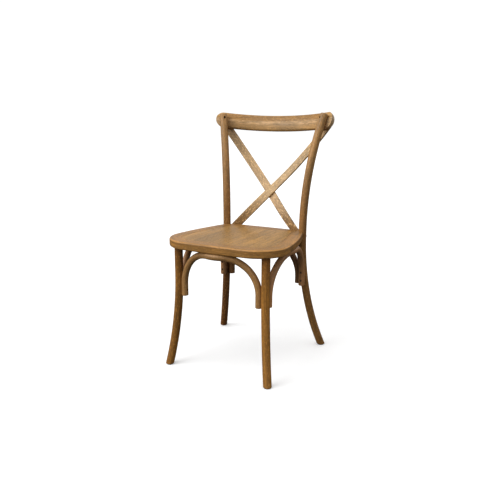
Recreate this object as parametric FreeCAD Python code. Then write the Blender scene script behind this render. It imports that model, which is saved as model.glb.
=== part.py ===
import FreeCAD, Part
import math
import os
from FreeCAD import Vector

# Cross back dining chair in bent hardwood.
# Millimetres, +Z up, the sitter faces -Y, and the origin lies on the floor
# below the middle of the whole chair.

# Driving sizes of the seat
seat_height = 459.0
seat_thickness = 28.0
seat_front_y = -252.5
seat_depth = 392.0
seat_front_width = 452.0
seat_rear_width = 316.0
seat_front_bow = 11.0
seat_rear_bow = 4.0
seat_side_bow = 17.0
seat_front_corner_radius = 108.0
seat_rear_corner_radius = 56.0
seat_top_rounding = 6.0
seat_bottom_rounding = 5.0
seat_border_width = 42.0
panel_thickness = 9.0
panel_ledge_width = 12.0
panel_gap = 0.6
panel_drop = 0.4
panel_edge_chamfer = 0.8
front_joint_set_back = 77.0
rear_joint_set_forward = 84.5

# Driving sizes of the posts and the legs
rod_diameter = 28.8
post_stand_out = 2.4
post_inset_y = 15.0
post_straight_below = 19.0
post_straight_above = 1.0
post_foot_flare = 96.0
post_top_flare = 75.3
post_top_height = 879.5
post_bow_angle = 50.3
post_top_rounding = 5.0
leg_inset_x = 58.0
leg_inset_y = 55.5
leg_straight_below = 122.0
leg_foot_flare = 43.2
leg_bow_angle = -50.9
tenon_diameter = 20.0
tenon_length = 20.0

# Driving sizes of the four arched braces
arch_diameter = 23.0
arch_drop = 163.6
arch_scoop = 1.4
arch_top_flat = 0.6
arch_end_rounding = 2.0
front_arch_bend_share = 0.8463
front_arch_yaw = 18.6
side_arch_bend_share = 0.9213
side_arch_yaw = 10.2
rear_arch_bend_share = 0.9493
rear_arch_yaw = -4.0

# Driving sizes of the top rail
rail_overhang = 29.8
rail_sagitta = 52.5
rail_height = 60.8
rail_thickness = 26.0
rail_lean = 16.9
rail_set_back = 8.8
rail_drop = 20.5
rail_end_radius = 29.5
rail_crest_share = 0.3

# Driving sizes of the two crossing slats
slat_width = 31.2
slat_thickness = 7.6
slat_edge_rounding = 2.0
slat_twist = 3.2
slat_sections = 15
slat_foot_depth = 25.0
slat_low_rise = 18.0
slat_rise_shares = (0.3257, 0.5325, 0.705, 0.9575)
slat_run_shares = (-0.9102, -0.6546, 0.0, 0.4676, 0.8416, 1.3529)
slat_set_backs = (12.5, 16.5, 51.5, 77.0, 87.0, 87.5)

# Driving sizes of the glides and the fasteners
glide_height = 3.5
glide_diameter = 25.0
glide_pin_diameter = 4.0
glide_pin_length = 18.0
screw_diameter = 4.5
screw_head_diameter = 8.6
screw_recess_diameter = 9.4
screw_recess_depth = 4.5
screw_head_height = 3.0
arch_screw_length = 30.0
arch_screw_rises = (19.5, 50.5)
seat_screw_length = 32.0
seat_screw_spread = 18.0
rail_screw_rise = 8.0
rail_screw_length = 40.0
slat_screw_length = 18.0
slat_cross_screw_length = 12.0
panel_screw_length = 24.0
panel_screws_per_side = 4
bolt_diameter = 6.0
bolt_head_diameter = 12.0
bolt_head_height = 4.0
bolt_length = 52.0
barrel_nut_diameter = 10.0
barrel_nut_height = 13.0
dowel_diameter = 8.0
dowel_length = 34.0
dowel_edge_distances = (14.0, 30.0)

# Named clearances
wood_clearance = 0.15
bore_clearance = 0.1
slot_clearance = 0.2

# Values worked out from the driving sizes
seat_bottom = seat_height - seat_thickness
seat_rear_y = seat_front_y + seat_depth
leg_x = seat_front_width / 2 - leg_inset_x
leg_y = seat_front_y + leg_inset_y
leg_straight_from = seat_height - leg_straight_below
post_seat_x = seat_rear_width / 2 + post_stand_out
post_seat_y = seat_rear_y - post_inset_y
post_straight_from = seat_height - post_straight_below
post_straight_to = seat_height + post_straight_above
front_joint_y = leg_y + front_joint_set_back
rear_joint_y = post_seat_y - rear_joint_set_forward
rod_radius = rod_diameter / 2
arch_radius = arch_diameter / 2
arch_top_height = seat_bottom - arch_radius + arch_top_flat
arch_end_height = arch_top_height - arch_drop
arch_screw_heights = [arch_end_height + rise for rise in arch_screw_rises]
limb_offset = rod_radius + arch_radius - arch_scoop
post_turn = math.radians(post_bow_angle)
rail_half_length = post_seat_x + post_top_flare * math.cos(post_turn) + rail_overhang
rail_end_y = post_seat_y + post_top_flare * math.sin(post_turn) + rail_set_back
rail_end_z = post_top_height - rail_drop
rail_screw_height = rail_end_z + rail_screw_rise
rail_lean_angle = math.radians(rail_lean)
rail_bow_radius = (rail_half_length ** 2 + rail_sagitta ** 2) / (2 * rail_sagitta)
rail_back = Vector(0, math.cos(rail_lean_angle), -math.sin(rail_lean_angle))
rail_up = Vector(0, math.sin(rail_lean_angle), math.cos(rail_lean_angle))

os.makedirs("parts", exist_ok=True)


def save(shape, node):
    shape.exportStep("parts/" + node + ".step")
    print(node, len(shape.Solids), round(shape.Volume), shape.isValid())


def mirrored(shape):
    """The same shape on the other side of the chair."""
    return shape.mirror(Vector(0, 0, 0), Vector(1, 0, 0))


def arc_edge(first, middle, last):
    return Part.Arc(first, middle, last).toShape()


def line_edge(first, last):
    return Part.LineSegment(first, last).toShape()


def cylinder(start, direction, length, diameter):
    return Part.makeCylinder(diameter / 2, length, start, direction)


def cone(start, direction, length, first_diameter, last_diameter):
    return Part.makeCone(first_diameter / 2, last_diameter / 2, length, start, direction)


def only_solid(shape):
    """The largest solid of a cut."""
    return max(shape.Solids, key=lambda solid: solid.Volume)


def rod(edges, diameter, start, direction):
    """A round rod swept along a smooth line."""
    section = Part.Wire([Part.makeCircle(diameter / 2, start, direction)])
    return Part.Wire(edges).makePipeShell([section], True, False)


def box_below(height):
    reach = 2 * seat_depth
    corner = Vector(-reach, -reach, height - reach)
    return Part.makeBox(2 * reach, 2 * reach, reach, corner)


def rounded_end(shape, radius, chooser):
    """Rounds the closed end edges that the chooser accepts."""
    edges = [edge for edge in shape.Edges if edge.isClosed() and chooser(edge)]
    return shape.makeFillet(radius, edges)


# Screws are smooth, because their threads are hidden in the wood.
def screw(head, direction, length, diameter=screw_diameter):
    """A countersunk screw, with its head's flat face at the point given."""
    axis = Vector(direction).normalize()
    top = cone(head, axis, screw_head_height, screw_head_diameter, diameter)
    shank = cylinder(head, axis, length - diameter, diameter)
    tip = cone(head + axis * (length - diameter), axis, diameter, diameter, diameter / 5)
    drive = cross_recess(head, axis)
    return top.fuse([shank, tip]).cut(drive)


def cross_recess(head, axis):
    """The cross shaped drive of a screw head."""
    turn = FreeCAD.Rotation(Vector(0, 0, 1), axis)
    arm_length = screw_head_diameter * 0.5
    arm_width = screw_head_diameter * 0.12
    depth = screw_head_height * 0.6
    arms = []
    for long_x, long_y in ((arm_length, arm_width), (arm_width, arm_length)):
        arm = Part.makeBox(long_x, long_y, depth, Vector(-long_x / 2, -long_y / 2, 0))
        arm.Placement = FreeCAD.Placement(head, turn).multiply(arm.Placement)
        arms.append(arm)
    return arms[0].fuse(arms[1])


def screw_bore(head, direction, length, recess=screw_recess_depth, diameter=screw_diameter):
    """The room that a screw takes, with its open recess in front of the head."""
    axis = Vector(direction).normalize()
    grow = 2 * bore_clearance
    start = head - axis * bore_clearance
    shank = cylinder(start, axis, length + grow, diameter + grow)
    seat = cone(start, axis, screw_head_height + grow, screw_head_diameter + 2 * grow, diameter + grow)
    recess_start = head - axis * (recess + rod_radius / 2)
    opening = cylinder(recess_start, axis, recess + rod_radius / 2, screw_recess_diameter)
    return shank.fuse([seat, opening])


# Rear posts: one rod each from foot to top, bowed in one upright plane.
post_direction = Vector(math.cos(post_turn), math.sin(post_turn), 0)
post_low_radius = (post_straight_from ** 2 + post_foot_flare ** 2) / (2 * post_foot_flare)
post_rise = post_top_height - post_straight_to
post_high_radius = (post_rise ** 2 + post_top_flare ** 2) / (2 * post_top_flare)
post_axis = Vector(post_seat_x, post_seat_y, 0)


def post_flare(height):
    """How far the post's middle line stands out at a height."""
    if height < post_straight_from:
        drop = post_straight_from - height
        return post_low_radius - math.sqrt(post_low_radius ** 2 - drop ** 2)
    if height > post_straight_to:
        rise = height - post_straight_to
        return post_high_radius - math.sqrt(post_high_radius ** 2 - rise ** 2)
    return 0.0


def on_side(point, side):
    """The point itself for side 1, or its twin on the left for side -1."""
    return Vector(side * point.x, point.y, point.z)


def post_point(height, side=1):
    return on_side(post_axis + post_direction * post_flare(height) + Vector(0, 0, height), side)


def rear_post(diameter, side):
    low = -rod_diameter
    half_rise = (post_straight_to + post_top_height) / 2
    heights = (low, post_straight_from / 2, post_straight_from, post_straight_to, half_rise, post_top_height)
    points = [post_point(height, side) for height in heights]
    lower = arc_edge(*points[:3])
    middle = line_edge(points[2], points[3])
    upper = arc_edge(*points[3:])
    start_direction = lower.tangentAt(lower.FirstParameter)
    shape = rod([lower, middle, upper], diameter, points[0], start_direction)
    top = rounded_end(shape, post_top_rounding, lambda edge: edge.BoundBox.ZMin > post_top_height - rod_diameter)
    return only_solid(top.cut(box_below(glide_height)))


# Front legs: straight under the seat, flared at the foot.
leg_direction = Vector(math.cos(math.radians(leg_bow_angle)), math.sin(math.radians(leg_bow_angle)), 0)
leg_bow_radius = (leg_straight_from ** 2 + leg_foot_flare ** 2) / (2 * leg_foot_flare)
leg_axis = Vector(leg_x, leg_y, 0)


def leg_flare(height):
    if height > leg_straight_from:
        return 0.0
    drop = leg_straight_from - height
    return leg_bow_radius - math.sqrt(leg_bow_radius ** 2 - drop ** 2)


def leg_point(height, side=1):
    return on_side(leg_axis + leg_direction * leg_flare(height) + Vector(0, 0, height), side)


def front_leg(diameter, side):
    low = -rod_diameter
    heights = (low, leg_straight_from / 2, leg_straight_from, seat_bottom)
    points = [leg_point(height, side) for height in heights]
    lower = arc_edge(*points[:3])
    upper = line_edge(points[2], points[3])
    shape = rod([lower, upper], diameter, points[0], lower.tangentAt(lower.FirstParameter))
    return only_solid(shape.cut(box_below(glide_height)))


def leg_tenon(diameter, length, side):
    return cylinder(leg_point(seat_bottom, side), Vector(0, 0, 1), length, diameter)


# Arched braces: two limbs along the legs, joined by a flat topped bend.
def arch_edges(first_limb, second_limb, bend_radius, yaw):
    """The middle line. A positive yaw swings the top to the right of first to second."""
    along = second_limb - first_limb
    span = along.Length
    along = along.normalize()
    outward = Vector(along.y, -along.x, 0)
    turn = math.radians(yaw)

    def place(run, out, height):
        return first_limb + along * run + outward * out + Vector(0, 0, height)

    def bend(angle):
        reach = bend_radius * (1 - math.cos(angle))
        height = arch_top_height - bend_radius + bend_radius * math.sin(angle)
        return reach * math.cos(turn), reach * math.sin(turn), height

    def twin(run, out, height):
        return place(span - run, out, height)

    half_run = span / 2 - bend_radius * math.cos(turn)
    crown_radius = half_run / math.sin(turn)
    crown_out = bend_radius * math.sin(turn) + crown_radius * (1 - math.cos(turn))
    low = (0.0, 0.0, arch_end_height)
    start, middle, end = bend(0.0), bend(math.pi / 4), bend(math.pi / 2)
    crown = (span / 2, crown_out, arch_top_height)
    return [
        line_edge(place(*low), place(*start)),
        arc_edge(place(*start), place(*middle), place(*end)),
        arc_edge(place(*end), place(*crown), twin(*end)),
        arc_edge(twin(*end), twin(*middle), twin(*start)),
        line_edge(twin(*start), twin(*low)),
    ]


def arch(first_limb, second_limb, bend_radius, yaw):
    edges = arch_edges(first_limb, second_limb, bend_radius, yaw)
    foot = first_limb + Vector(0, 0, arch_end_height)
    shape = rod(edges, arch_diameter, foot, Vector(0, 0, 1))
    ends = rounded_end(shape, arch_end_rounding, lambda edge: edge.BoundBox.ZMax < arch_end_height + 1)
    above = Part.makeBox(4 * seat_depth, 4 * seat_depth, arch_diameter,
                         Vector(-2 * seat_depth, -2 * seat_depth, seat_bottom))
    return ends.cut(above)


# Where the limbs stand: against the inner and the seat sides of each leg.
limb_middle_height = (arch_end_height + arch_screw_heights[1]) / 2
post_at_limb = post_point(limb_middle_height)
leg_at_limb = leg_point(limb_middle_height)
front_limb = Vector(leg_at_limb.x - limb_offset, leg_at_limb.y, 0)
side_front_limb = Vector(leg_at_limb.x, leg_at_limb.y + limb_offset, 0)
side_rear_limb = Vector(post_at_limb.x, post_at_limb.y - limb_offset, 0)
rear_limb = Vector(post_at_limb.x - limb_offset, post_at_limb.y, 0)
front_limb_left = Vector(-front_limb.x, front_limb.y, 0)
rear_limb_left = Vector(-rear_limb.x, rear_limb.y, 0)
front_arch_bend_radius = front_arch_bend_share * front_limb.x
rear_arch_bend_radius = rear_arch_bend_share * rear_limb.x
side_arch_bend_radius = side_arch_bend_share * (side_rear_limb - side_front_limb).Length / 2


def arch_screw_places(limb, leg):
    """Head points and direction of the two screws through one limb's end."""
    toward = Vector(leg.x - limb.x, leg.y - limb.y, 0).normalize()
    face = limb - toward * (arch_radius - screw_recess_depth)
    return [(face + Vector(0, 0, height), toward) for height in arch_screw_heights]


# Seat: a rim of four curved pieces round an inset panel.
def arc_about(centre, radius, first, last):
    """An arc of less than a half turn between two points of a circle."""
    middle = centre + ((first + last) * 0.5 - centre).normalize() * radius
    return arc_edge(first, middle, last)


def meeting_point(first, first_radius, second, second_radius, near):
    """Where two circles meet, on the side of the point given."""
    apart = second - first
    length = apart.Length
    along = (first_radius ** 2 - second_radius ** 2 + length ** 2) / (2 * length)
    aside = math.sqrt(first_radius ** 2 - along ** 2)
    axis = apart.normalize()
    square = Vector(-axis.y, axis.x, 0)
    foot = first + axis * along
    choices = [foot + square * aside, foot - square * aside]
    return min(choices, key=lambda point: (point - near).Length)


front_corner = Vector(seat_front_width / 2, seat_front_y + seat_front_bow, 0)
rear_corner = Vector(seat_rear_width / 2, seat_rear_y - seat_rear_bow, 0)
side_line = rear_corner - front_corner
side_out = Vector(side_line.y, -side_line.x, 0).normalize()
side_middle = (front_corner + rear_corner) * 0.5 + side_out * seat_side_bow
front_circle = arc_edge(on_side(front_corner, -1), Vector(0, seat_front_y, 0), front_corner).Curve
side_circle = arc_edge(front_corner, side_middle, rear_corner).Curve
rear_circle = arc_edge(rear_corner, Vector(0, seat_rear_y, 0), on_side(rear_corner, -1)).Curve


def corner_centre(circle, radius, near):
    """The middle of a round corner between an end edge and the side edge."""
    end_reach = circle.Radius - radius
    side_reach = side_circle.Radius - radius
    return meeting_point(circle.Center, end_reach, side_circle.Center, side_reach, near)


front_corner_centre = corner_centre(front_circle, seat_front_corner_radius, front_corner)
rear_corner_centre = corner_centre(rear_circle, seat_rear_corner_radius, rear_corner)


def tangent_point(centre, circle, radius):
    """Where a round corner, drawn in to a smaller radius, runs into an edge's circle."""
    return centre + (centre - circle.Center).normalize() * radius


def seat_outline(inset, height):
    """The seat's closed outline at a height, drawn in by the inset on every side."""
    front_radius = seat_front_corner_radius - inset
    rear_radius = seat_rear_corner_radius - inset
    front_start = tangent_point(front_corner_centre, front_circle, front_radius)
    front_end = tangent_point(front_corner_centre, side_circle, front_radius)
    rear_start = tangent_point(rear_corner_centre, side_circle, rear_radius)
    rear_end = tangent_point(rear_corner_centre, rear_circle, rear_radius)
    side_centre = side_circle.Center
    side_radius = side_circle.Radius - inset
    edges = [arc_about(front_circle.Center, front_circle.Radius - inset, on_side(front_start, -1), front_start)]
    edges.append(arc_about(front_corner_centre, front_radius, front_start, front_end))
    edges.append(arc_about(side_centre, side_radius, front_end, rear_start))
    edges.append(arc_about(rear_corner_centre, rear_radius, rear_start, rear_end))
    edges.append(arc_about(rear_circle.Center, rear_circle.Radius - inset, rear_end, on_side(rear_end, -1)))
    for centre, radius, first, last in (
            (rear_corner_centre, rear_radius, rear_end, rear_start),
            (side_centre, side_radius, rear_start, front_end),
            (front_corner_centre, front_radius, front_end, front_start)):
        edges.append(arc_about(on_side(centre, -1), radius, on_side(first, -1), on_side(last, -1)))
    wire = Part.Wire(edges)
    wire.translate(Vector(0, 0, height))
    return wire


def seat_prism(inset, low, high):
    return Part.Face(seat_outline(inset, low)).extrude(Vector(0, 0, high - low))


def rim_edge_at(y):
    """Half of the seat's width at a place along its depth."""
    aside = y - side_circle.Center.y
    return side_circle.Center.x + math.sqrt(side_circle.Radius ** 2 - aside ** 2)


panel_low = seat_height - panel_drop - panel_thickness


def edges_at(shape, height):
    return [edge for edge in shape.Edges
            if abs(edge.BoundBox.ZMin - height) < 0.01 and abs(edge.BoundBox.ZMax - height) < 0.01]


def seat_rim():
    board = seat_prism(0.0, seat_bottom, seat_height)
    board = board.makeFillet(seat_top_rounding, edges_at(board, seat_height))
    board = board.makeFillet(seat_bottom_rounding, edges_at(board, seat_bottom))
    rebate = seat_prism(seat_border_width, panel_low, seat_height + 1)
    through = seat_prism(seat_border_width + panel_ledge_width, seat_bottom - 1, seat_height)
    rim = board.cut(rebate).cut(through)
    inner = [edge for edge in edges_at(rim, seat_height) if is_inner(edge)]
    return rim.makeChamfer(panel_edge_chamfer, inner)


def is_inner(edge):
    """True for the edges of the opening in the rim's top."""
    middle = Part.Vertex(edge.valueAt((edge.FirstParameter + edge.LastParameter) / 2))
    return seat_outline(0.0, seat_height).distToShape(middle)[0] > seat_border_width - 1


def slab(y_from, y_to, x_from, x_to):
    return Part.makeBox(x_to - x_from, y_to - y_from, 3 * seat_thickness,
                        Vector(x_from, y_from, seat_bottom - seat_thickness))


def seat_panel():
    board = seat_prism(seat_border_width + panel_gap, panel_low, panel_low + panel_thickness)
    return board.makeChamfer(panel_edge_chamfer, edges_at(board, panel_low + panel_thickness))


def panel_screw_places():
    """Points round the ledge, evenly spaced along its middle line."""
    inset = seat_border_width + panel_ledge_width / 2
    ledge = seat_outline(inset, seat_bottom)
    count = 2 * panel_screws_per_side
    points = ledge.discretize(count + 1)[:count]
    return [Vector(point.x, point.y, seat_bottom + screw_head_height / 10) for point in points]


def dowel_places():
    """Middles of the dowels in the right hand joints of the rim."""
    middle_height = (seat_bottom + panel_low) / 2
    places = []
    for joint_y in (front_joint_y, rear_joint_y):
        edge_x = rim_edge_at(joint_y)
        for distance in dowel_edge_distances:
            places.append(Vector(edge_x - distance, joint_y - dowel_length / 2, middle_height))
    return places


# Top rail: an oval section swept round a level bow, its ends rounded in front view.
def rail_centre(x):
    """The middle of the rail's section at a place across the chair."""
    bow = rail_sagitta - (rail_bow_radius - math.sqrt(rail_bow_radius ** 2 - x ** 2))
    return Vector(x, rail_end_y, rail_end_z) + rail_back * bow


def rail_section():
    """The section at the chair's middle plane, with its crest on the front face."""
    half_t = rail_thickness / 2
    half_h = rail_height / 2

    def at(back, up):
        return rail_centre(0.0) + rail_back * (back * half_t) + rail_up * (up * half_h)

    top_front, top_back = at(-0.58, 0.87), at(0.58, 0.87)
    low_front, low_back = at(-0.66, -0.84), at(0.66, -0.84)
    crest_point = at(-1.0, rail_crest_share)
    return Part.Wire([
        arc_edge(top_front, at(-0.83, 0.6), crest_point),
        arc_edge(crest_point, at(-0.97, -0.3), low_front),
        arc_edge(low_front, at(0.0, -1.0), low_back),
        arc_edge(low_back, at(1.0, 0.0), top_back),
        arc_edge(top_back, at(0.0, 1.0), top_front),
    ])


def rail_end_shape():
    """The rail's rounded outline in front view, as a thick prism."""
    half_h = rail_height / 2
    depth = 2 * rail_sagitta + 2 * rail_thickness
    base = Vector(0, rail_end_y, rail_end_z) - rail_back * rail_thickness * 2

    def at(x, up):
        return base + Vector(x, 0, 0) + rail_up * up

    wide = rail_half_length
    high = half_h + 1
    round_x = wide - rail_end_radius
    round_up = high - rail_end_radius
    slope = rail_end_radius * math.sqrt(0.5)
    return Part.Face(Part.Wire([
        line_edge(at(-round_x, high), at(round_x, high)),
        arc_edge(at(round_x, high), at(round_x + slope, round_up + slope), at(wide, round_up)),
        line_edge(at(wide, round_up), at(wide, -round_up)),
        arc_edge(at(wide, -round_up), at(round_x + slope, -round_up - slope), at(round_x, -high)),
        line_edge(at(round_x, -high), at(-round_x, -high)),
        arc_edge(at(-round_x, -high), at(-round_x - slope, -round_up - slope), at(-wide, -round_up)),
        line_edge(at(-wide, -round_up), at(-wide, round_up)),
        arc_edge(at(-wide, round_up), at(-round_x - slope, round_up + slope), at(-round_x, high)),
    ])).extrude(rail_back * depth)


def top_rail():
    centre = rail_centre(0.0) - rail_back * rail_bow_radius
    half_angle = math.degrees(math.asin(rail_half_length / rail_bow_radius)) + 1
    face = Part.Face(rail_section())
    right = face.revolve(centre, rail_up, -half_angle)
    left = face.revolve(centre, rail_up, half_angle)
    rail = right.fuse(left).removeSplitter()
    return only_solid(rail.common(rail_end_shape()))


# Crossing slats: flat bent strips, their spines through six chosen places.
slat_room_height = rail_end_z - seat_height
slat_heights = [seat_height - slat_foot_depth, seat_height + slat_low_rise]
slat_heights += [seat_height + share * slat_room_height for share in slat_rise_shares]
slat_stations = [Vector(run * post_seat_x, post_seat_y + back, height)
                 for run, back, height in zip(slat_run_shares, slat_set_backs, slat_heights)]
slat_cross = slat_stations[2]


def slat_spine(cross_shift):
    crossing = slat_cross + Vector(0, cross_shift, 0)
    spine = Part.BSplineCurve()
    spine.interpolate(slat_stations[:2] + [crossing] + slat_stations[3:])
    return spine


def slat_frame(spine, share):
    """Middle, width direction and thickness direction at a share of the spine's length."""
    first, last = spine.FirstParameter, spine.LastParameter
    where = first + (last - first) * share
    middle = spine.value(where)
    tangent = Vector(*spine.tangent(where)[0]).normalize()
    normal = Vector(-slat_twist * middle.x / 1000, -tangent.z, tangent.y)
    normal = (normal - tangent * normal.dot(tangent)).normalize()
    return middle, normal.cross(tangent), normal


def slat_section(middle, across, normal, width, thickness):
    half_w = width / 2
    half_t = thickness / 2
    soft = slat_edge_rounding
    corner = soft * (1 - math.sqrt(0.5))

    def at(w, t):
        return middle + across * w + normal * t

    edges = []
    signs = ((1, 1), (-1, 1), (-1, -1), (1, -1))
    for index, (sw, st) in enumerate(signs):
        next_w, next_t = signs[(index + 1) % 4]
        along_width = sw != next_w
        first = at(sw * half_w, st * (half_t - soft))
        last = at(sw * (half_w - soft), st * half_t)
        if not along_width:
            first, last = last, first
        edges.append(arc_edge(first, at(sw * (half_w - corner), st * (half_t - corner)), last))
        if along_width:
            follow = at(next_w * (half_w - soft), next_t * half_t)
        else:
            follow = at(next_w * half_w, next_t * (half_t - soft))
        edges.append(line_edge(last, follow))
    return Part.Wire(edges)


def slat(cross_shift, grow=0.0):
    spine = slat_spine(cross_shift)
    wires = []
    for index in range(slat_sections):
        middle, across, normal = slat_frame(spine, index / (slat_sections - 1))
        wires.append(slat_section(middle, across, normal, slat_width + grow, slat_thickness + grow))
    return Part.makeLoft(wires, True, False)


def slat_screw(cross_shift, share, length, side):
    """Head point and direction of a screw through a slat, from its front or its back."""
    middle, across, normal = slat_frame(slat_spine(cross_shift), share)
    head = middle + normal * (side * (slat_thickness / 2 - screw_head_height / 10))
    return head, normal * -side, length


# Glides: a moulded foot disc with a pin.
def glide(point):
    disc = cylinder(Vector(point.x, point.y, 0), Vector(0, 0, 1), glide_height, glide_diameter)
    low_edge = [edge for edge in disc.Edges if edge.isClosed() and edge.BoundBox.ZMax < 0.01]
    disc = disc.makeFillet(glide_height / 3, low_edge)
    return disc.fuse(glide_pin(point, 0.0))


def glide_pin(point, clearance):
    return cylinder(Vector(point.x, point.y, glide_height / 2), Vector(0, 0, 1),
                    glide_height / 2 + glide_pin_length + clearance, glide_pin_diameter + 2 * clearance)


# The two slats lie face to face where they cross, on a leaning line.
crossing_tangent = Vector(*slat_spine(0.0).tangent(slat_spine(0.0).parameter(slat_cross))[0])
slat_lean_factor = math.hypot(crossing_tangent.y, crossing_tangent.z) / crossing_tangent.z

# The wood pieces before their bores are cut.
room_diameter = rod_diameter + 2 * wood_clearance
post_rooms = [rear_post(room_diameter, side) for side in (1, -1)]
leg_rooms = [front_leg(room_diameter, side) for side in (1, -1)]
tenon_rooms = [leg_tenon(tenon_diameter + 2 * wood_clearance, tenon_length + wood_clearance, side)
               for side in (1, -1)]


def leg_with_tenon(side):
    return front_leg(rod_diameter, side).fuse(leg_tenon(tenon_diameter, tenon_length, side))


half_slat = (slat_thickness + wood_clearance) / 2 * slat_lean_factor
front_slat_full = slat(-half_slat)
rear_slat_full = slat(half_slat)
slat_rooms = [slat(-half_slat, 2 * slot_clearance), mirrored(slat(half_slat, 2 * slot_clearance))]

wood = {
    "rear_post_right": rear_post(rod_diameter, 1),
    "rear_post_left": rear_post(rod_diameter, -1),
    "front_leg_right": leg_with_tenon(1),
    "front_leg_left": leg_with_tenon(-1),
    "front_arch": arch(front_limb_left, front_limb, front_arch_bend_radius, front_arch_yaw).cut(leg_rooms),
    "rear_arch": arch(rear_limb, rear_limb_left, rear_arch_bend_radius, rear_arch_yaw).cut(post_rooms),
    "top_rail": only_solid(top_rail().cut(post_rooms + slat_rooms)),
    "cross_slat_front": only_solid(front_slat_full.cut(post_rooms)),
    "cross_slat_rear": only_solid(mirrored(rear_slat_full).cut(post_rooms + slat_rooms[:1])),
    "seat_panel": seat_panel(),
}
side_arch = arch(side_front_limb, side_rear_limb, side_arch_bend_radius, side_arch_yaw)
wood["side_arch_right"] = side_arch.cut([leg_rooms[0], post_rooms[0]])
wood["side_arch_left"] = mirrored(wood["side_arch_right"])

rim = seat_rim().cut(post_rooms + tenon_rooms + slat_rooms)
reach = seat_front_width
wood["seat_front_rail"] = only_solid(rim.common(slab(-reach, front_joint_y, -reach, reach)))
wood["seat_rear_rail"] = only_solid(rim.common(slab(rear_joint_y, reach, -reach, reach)))
wood["seat_side_right"] = only_solid(rim.common(slab(front_joint_y, rear_joint_y, 0, reach)))
wood["seat_side_left"] = only_solid(rim.common(slab(front_joint_y, rear_joint_y, -reach, 0)))

# Fasteners, each kind as one group, with the bores that they need in the wood.
hardware = {}
bores = {}


def add_screws(node, places, length, through, recess=screw_recess_depth):
    """Adds a group of screws, and bores for them in the named pieces."""
    hardware[node] = [screw(head, direction, length) for head, direction in places]
    rooms = [screw_bore(head, direction, length, recess) for head, direction in places]
    for piece in through:
        bores.setdefault(piece, []).extend(rooms)


def flipped(places):
    result = []
    for head, direction in places:
        result.append((Vector(-head.x, head.y, head.z), Vector(-direction.x, direction.y, direction.z)))
    return result


front_right_ends = arch_screw_places(front_limb, leg_at_limb)
rear_right_ends = arch_screw_places(rear_limb, post_at_limb)
side_right_ends = arch_screw_places(side_front_limb, leg_at_limb) + arch_screw_places(side_rear_limb, post_at_limb)
all_legs = ["front_leg_right", "front_leg_left"]
all_posts = ["rear_post_right", "rear_post_left"]
add_screws("front_arch_screws", front_right_ends + flipped(front_right_ends), arch_screw_length,
           ["front_arch"] + all_legs)
add_screws("rear_arch_screws", rear_right_ends + flipped(rear_right_ends), arch_screw_length,
           ["rear_arch"] + all_posts)
add_screws("side_arch_screws_right", side_right_ends, arch_screw_length,
           ["side_arch_right", "front_leg_right", "rear_post_right"])
add_screws("side_arch_screws_left", flipped(side_right_ends), arch_screw_length,
           ["side_arch_left", "front_leg_left", "rear_post_left"])

# Screws through the tops of the arches up into the rim
arch_low_face = arch_top_height - arch_radius + screw_recess_depth


def crown_y(limb, yaw, bend_radius):
    """How far out the crown of a cross arch lies from its limbs."""
    turn = math.radians(yaw)
    half_run = limb.x - bend_radius * math.cos(turn)
    return bend_radius * math.sin(turn) + half_run / math.sin(turn) * (1 - math.cos(turn))


def crown_of_side():
    edges = arch_edges(side_front_limb, side_rear_limb, side_arch_bend_radius, side_arch_yaw)
    crown = edges[2]
    return crown.valueAt((crown.FirstParameter + crown.LastParameter) / 2)


front_crown = front_limb.y - crown_y(front_limb, front_arch_yaw, front_arch_bend_radius)
rear_crown = rear_limb.y + crown_y(rear_limb, rear_arch_yaw, rear_arch_bend_radius)
side_crown = crown_of_side()
up = Vector(0, 0, 1)
crown_places = [
    (Vector(-seat_screw_spread, front_crown + 2, arch_low_face), up),
    (Vector(seat_screw_spread, front_crown + 2, arch_low_face), up),
    (Vector(0, rear_crown, arch_low_face), up),
    (Vector(side_crown.x, side_crown.y, arch_low_face), up),
    (Vector(-side_crown.x, side_crown.y, arch_low_face), up),
]
rim_pieces = ["seat_front_rail", "seat_rear_rail", "seat_side_right", "seat_side_left"]
arches = ["front_arch", "rear_arch", "side_arch_right", "side_arch_left"]
add_screws("arch_top_screws", crown_places, seat_screw_length, rim_pieces + arches)

# Screws from the inner front of each post's top into the rail's ends
rail_screw_point = post_point(rail_screw_height)
rail_screw_aim = Vector(math.cos(math.radians(post_bow_angle - 7)), math.sin(math.radians(post_bow_angle - 7)), 0)
rail_screw_head = rail_screw_point - rail_screw_aim * (rod_radius - 2 * screw_recess_depth)
rail_screw_places = [(rail_screw_head, rail_screw_aim)]
add_screws("rail_screws", rail_screw_places + flipped(rail_screw_places), rail_screw_length,
           ["top_rail"] + all_posts, 2 * screw_recess_depth)

# Screws that hold the slats to the rail, to the seat and to each other
slat_foot_share = 0.035
slat_head_share = 0.955
slat_cross_share = 0.41


def slat_places(share):
    """One screw place for each slat, from the back."""
    front_head, front_aim, length = slat_screw(-half_slat, share, slat_screw_length, -1)
    rear_head, rear_aim, length = slat_screw(half_slat, share, slat_screw_length, -1)
    return [(front_head, front_aim)] + flipped([(rear_head, rear_aim)])


slats = ["cross_slat_front", "cross_slat_rear"]
add_screws("slat_head_screws", slat_places(slat_head_share), slat_screw_length, ["top_rail"] + slats, 0.5)
add_screws("slat_foot_screws", slat_places(slat_foot_share), slat_screw_length, ["seat_rear_rail"] + slats, 0.5)
cross_middle = slat_cross
cross_frame = slat_frame(slat_spine(half_slat), slat_cross_share)
cross_normal = Vector(0, cross_frame[2].y, cross_frame[2].z).normalize()
cross_head = cross_middle - cross_normal * (slat_thickness - screw_head_height / 10)
add_screws("slat_cross_screw", [(cross_head, cross_normal)], slat_cross_screw_length, slats, 0.5)

# Screws up through the ledge into the panel
panel_places = [(point, up) for point in panel_screw_places()]
add_screws("panel_screws", panel_places, panel_screw_length, rim_pieces + ["seat_panel"], 0.5)

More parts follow.
